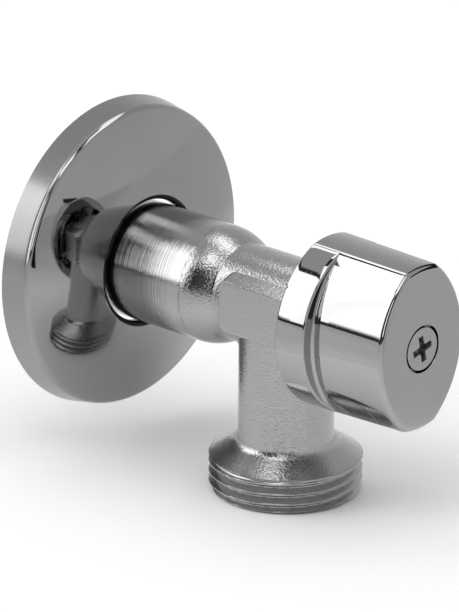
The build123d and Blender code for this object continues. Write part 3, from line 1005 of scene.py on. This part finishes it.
def floor_card_finish():
    """Light grey at the picture's edge, which fades to the tones that the mirrors show."""
    material = glow("floor_cards")
    tree = material.node_tree
    x, y, _ = parts_of(add_node(tree, "ShaderNodeTexCoord", output=3))
    right_mm = (to_right[0] * x + to_right[1] * y) * (1 / MM)
    front_mm = (to_front[0] * x + to_front[1] * y) * (1 / MM)
    tone = 0.95 - 0.22 * right_mm.step(CLEAR_RIGHT, FADED_RIGHT)
    tone = tone - 0.12 * (-1 * right_mm).step(-CLEAR_LEFT, -FADED_LEFT)
    tone = tone - 0.12 * front_mm.step(CLEAR_FRONT, FADED_FRONT)
    colour = mix_colours(tone, grey(0.0), grey(1.0))
    link(tree, tree.nodes["Principled BSDF"], Emission_Color=colour)
    return material


floor_quads = on_floor(CLEAR_RIGHT, FAR, -FAR, FAR) + on_floor(-FAR, CLEAR_LEFT, -FAR, FAR)
floor_quads += on_floor(CLEAR_LEFT, CLEAR_RIGHT, CLEAR_FRONT, FAR)
mirror_card("floor_cards", floor_quads, floor_card_finish())
mirror_card("front_card", upright(*FRONT_CARD), glow("front_card", CARD_WHITE))
mirror_card("near_card", upright(*NEAR_CARD), glow("near_card", CARD_WHITE))

# %% [markdown]
# The rounded edge along the ridge of the knob shows a light line and a black one beside it, and then
# the side is white. Level cards above draw these. Their rear edge is cut askew, along the step of
# the knob as the mirror shows it, so that the collar does not see them.

# %% Cards above the knob
SOFTBOX = 2.6
CARD_HEIGHT = 56
CARD_FRONT, CARD_REAR, CARD_SKEW = -48, -26.6, 0.12
LINE_LEFT, LINE_RIGHT = -15, -4
LIGHT_SPLIT, LIGHT_END, SIDE_END = 3, 20.5, -34
LIGHT_FRONT, LIGHT_REAR = -44, -6


def overhead(left, right, front=CARD_FRONT, rear=CARD_REAR, skew=CARD_SKEW):
    """Corners of a level card above the knob. Its rear edge comes forward by the skew to the right."""
    places = [(left, front), (right, front), (right, rear - skew * right), (left, rear - skew * left)]
    return [(x, y, CARD_HEIGHT) for x, y in places]


white_quads = overhead(LIGHT_SPLIT, LIGHT_END, LIGHT_FRONT, LIGHT_REAR, skew=0.0)
white_quads += overhead(LINE_RIGHT, LIGHT_SPLIT) + overhead(SIDE_END, LINE_LEFT)
mirror_card("edge_card", white_quads, glow("edge_card", SOFTBOX))
mirror_card("line_shade", overhead(LINE_LEFT, LINE_RIGHT), glow("line_shade", CARD_BLACK))

# %% [markdown]
# Small black cards stand close by. Two draw the black lines on the top front edge of the knob,
# and each is put where that edge mirrors it. The third darkens one side of the neck's swelling behind
# the pad. The nearer a card is, the less of it shows in any other mirror.

# %% Black cards
corner_top = np.array([0.0, knob_front, GRIP_R - FRONT_EDGE / 2])
EDGE_SHADES = {"edge_shade": (70, 8, 2.0, 5.5), "front_shade": (22, 4, 1.1, 4.5)}
NECK_SHADE = [(-30.5, -29.6), (-23.6, -18.6)]
NECK_SHADE_LOW, NECK_SHADE_HIGH = 1, 26


def shade(rise, reach, width, length):
    """Corners of a black card that the top front edge mirrors where it faces up by the rise.

    The card stands at the reach in the mirrored direction of the camera, square to it. The
    mirrored direction is twice the camera's share along the facing direction, less the camera's.
    """
    tilt = radians(CAMERA_ELEVATION)
    to_camera = cos(tilt) * to_front + np.array([0, 0, sin(tilt)])
    facing = np.array([0, -cos(radians(rise)), sin(radians(rise))])
    mirrored = 2 * (facing @ to_camera) * facing - to_camera
    along = np.cross([1.0, 0, 0], mirrored)
    along = along / np.linalg.norm(along)
    across = np.cross(mirrored, along)
    middle = corner_top + reach * mirrored
    return [middle + u * width * along + v * length * across for u, v in corner_signs]


for name, sizes in EDGE_SHADES.items():
    mirror_card(name, shade(*sizes), glow(name, CARD_BLACK))
(far_x, far_y), (near_x, near_y) = NECK_SHADE
neck_corners = [
    (far_x, far_y, NECK_SHADE_LOW),
    (near_x, near_y, NECK_SHADE_LOW),
    (near_x, near_y, NECK_SHADE_HIGH),
    (far_x, far_y, NECK_SHADE_HIGH),
]
mirror_card("neck_shade", neck_corners, glow("neck_shade", CARD_BLACK))

# %% [markdown]
# The rest of the room is a dome, painted by direction. A picture of a studio could light it too, but
# bands of bearing and height are easy to move until each mirror face shows the right tone.

# %% Dome by direction
ROOM, HIGH_BOX, BRIGHTEST = 0.58, 1.9, 4.0
ROOM_RADIUS, ROOM_STEPS = 1600, 48
FRAME_BEARING, FRAME_HEIGHT = (-39, 31), (-5, 51)
BOX_BEARING, BOX_FOOT, BOX_TOP = (-36, 28), (1.0, 5.0), (47.6, 48.4)
DARK_BEARING, DARK_HEIGHT = (31, 108), (-5, 46)
HIGH_BEARING, HIGH_HEIGHT = (40, 85), (50, 70)


def band(value, limits, soft):
    """1 between two limits, with soft ends, and 0 elsewhere."""
    low, high = limits
    return value.step(low - soft, low + soft) * (1 - value.step(high - soft, high + soft))


def dome_finish():
    """Brightness from the bearing, 0 being the picture's left and 90 the camera, and the height."""
    material = glow("studio_dome")
    tree = material.node_tree
    place = add_node(tree, "ShaderNodeTexCoord", output=3)
    place = place.node("ShaderNodeVectorMath", {"operation": "NORMALIZE"}, Vector=place)
    x, y, z = parts_of(place)
    left = -to_right[0] * x + -to_right[1] * y
    front = to_front[0] * x + to_front[1] * y
    bearing = left.math("ARCTAN2", front, left) * (180 / pi)
    height = z.math("ARCSINE", z) * (180 / pi)
    frame_of_box = band(bearing, FRAME_BEARING, 0.5) * band(height, FRAME_HEIGHT, 0.6)
    softbox = band(bearing, BOX_BEARING, 0.4) * height.step(*BOX_FOOT) * (1 - height.step(*BOX_TOP))
    dark_room = band(bearing, DARK_BEARING, 1.5) * band(height, DARK_HEIGHT, 3.0)
    high_box = band(bearing, HIGH_BEARING, 1.0) * band(height, HIGH_HEIGHT, 1.0)
    brightness = ROOM + 0.15 * height.step(70, 80) + 0.2 * (1 - height.step(-2, 40))
    brightness = brightness * (1 - 0.9 * dark_room) * (1 - 0.93 * frame_of_box)
    brightness = brightness + SOFTBOX * softbox + HIGH_BOX * high_box
    colour = mix_colours(brightness * (1 / BRIGHTEST), grey(0.0), grey(BRIGHTEST))
    link(tree, tree.nodes["Principled BSDF"], Emission_Color=colour)
    return material


def dome_grid():
    """Sphere: the bearing runs round, and the height from straight down to straight up."""
    share = np.linspace(0, 1, ROOM_STEPS)
    around, up = np.meshgrid(2 * pi * share[:-1], pi * (share - 0.5), indexing="ij")
    unit = [np.cos(around) * np.cos(up), np.sin(around) * np.cos(up), np.sin(up)]
    return ROOM_RADIUS * np.stack(unit, axis=2)


dome_points = dome_grid()
dome_faces = grid_faces(*dome_points.shape[:2], close_rows=True)
stage_mesh("studio_dome", dome_points.reshape(-1, 3), dome_faces, dome_finish())

# %% [markdown]
# One wide lamp overhead lifts the floor to white and gives the soft shadow. Mirrors do not see it.

# %% Lamp, world and view
LAMP_SIZE, LAMP_ENERGY, LAMP_PLACE = 2.0, 7.5, (-0.1, -0.1, 1.1)
lamp_data = bpy.data.lights.new("overhead", "AREA")
lamp_data.shape = "DISK"
lamp_data.size = LAMP_SIZE
lamp_data.energy = LAMP_ENERGY
lamp = bpy.data.objects.new("overhead", lamp_data)
bpy.context.scene.collection.objects.link(lamp)
lamp.location = LAMP_PLACE
lamp.visible_glossy = False
world = bpy.data.worlds.new("white_paper")
bpy.context.scene.world = world
world.use_nodes = True
background = world.node_tree.nodes["Background"]
background.inputs["Color"].default_value = grey(1.0)
background.inputs["Strength"].default_value = 1.0
bpy.context.scene.view_settings.view_transform = "Standard"
print("lamp of", LAMP_ENERGY, "W at", LAMP_PLACE, "m")

# %% [markdown]
# ## Camera
# The photograph was taken from the upper left with a long lens. The angles and the
# distance were measured from the round edges of the plate and the outlet, and the
# camera is aimed so that the object falls where it does in the photograph.

# %% Camera at the photograph's angle
IMAGE_WIDTH, IMAGE_HEIGHT = 459, 612
CAMERA_DISTANCE = 1.0
FOCAL_PIXELS, SENSOR = 5738.15, 36.0
ORIGIN_PIXEL = (112.034, 248.333)
turn, tilt = radians(CAMERA_AZIMUTH), radians(CAMERA_ELEVATION)
right = Vector((cos(turn), sin(turn), 0))
toward = Vector((sin(turn) * cos(tilt), -cos(turn) * cos(tilt), sin(tilt)))
upward = toward.cross(right)
aim = -toward
aim += right * (IMAGE_WIDTH / 2 - ORIGIN_PIXEL[0]) / FOCAL_PIXELS
aim -= upward * (IMAGE_HEIGHT / 2 - ORIGIN_PIXEL[1]) / FOCAL_PIXELS
back_axis = -aim.normalized()
side_axis = upward.cross(back_axis).normalized()
top_axis = back_axis.cross(side_axis)
camera_data = bpy.data.cameras.new("camera")
camera_data.sensor_fit = "VERTICAL"
camera_data.sensor_height = SENSOR
camera_data.lens = FOCAL_PIXELS * SENSOR / IMAGE_HEIGHT
camera = bpy.data.objects.new("camera", camera_data)
bpy.context.scene.collection.objects.link(camera)
axes = Matrix((side_axis, top_axis, back_axis)).transposed().to_4x4()
camera.matrix_world = Matrix.Translation(toward * CAMERA_DISTANCE) @ axes
bpy.context.scene.camera = camera
print("camera at, mm:", [round(c / MM) for c in camera.matrix_world.translation])
